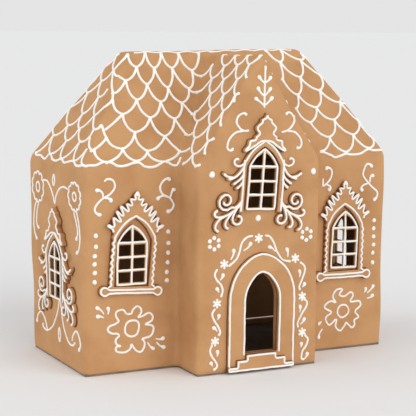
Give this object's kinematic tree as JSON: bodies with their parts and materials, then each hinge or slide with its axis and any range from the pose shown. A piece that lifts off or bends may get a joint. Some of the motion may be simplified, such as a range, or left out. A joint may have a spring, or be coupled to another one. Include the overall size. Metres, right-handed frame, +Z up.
{
  "type": "gingerbread house",
  "caption": "Hollow one-piece decorative gingerbread house with a hipped roof, a gabled bay with an open doorway, pierced pointed windows and raised scrolled frames.",
  "frame": {"origin": "middle of the underside of the whole part's box, on the surface that it stands on", "axes": "+X to the right along the front with its door and the roof line, +Y from the front to the back, +Z up"},
  "size_m": [0.3108, 0.1724, 0.276],
  "materials": {
    "gingerbread": "matt baked gingerbread brown, fine grained",
    "frame": "matt baked gingerbread brown, smooth face",
    "icing": "dried white royal icing, low sheen",
    "board": "dark board, semi-matt"
  },
  "bodies": {
    "root": {"house_shell": "gingerbread", "crown_frame_left": "frame", "crown_frame_right": "frame", "scroll_frame_bay": "frame", "scroll_frame_end_left": "frame", "scroll_frame_end_right": "frame", "door_surround": "frame", "door_steps": "frame", "base_board": "board"}
  },
  "joints": []
}
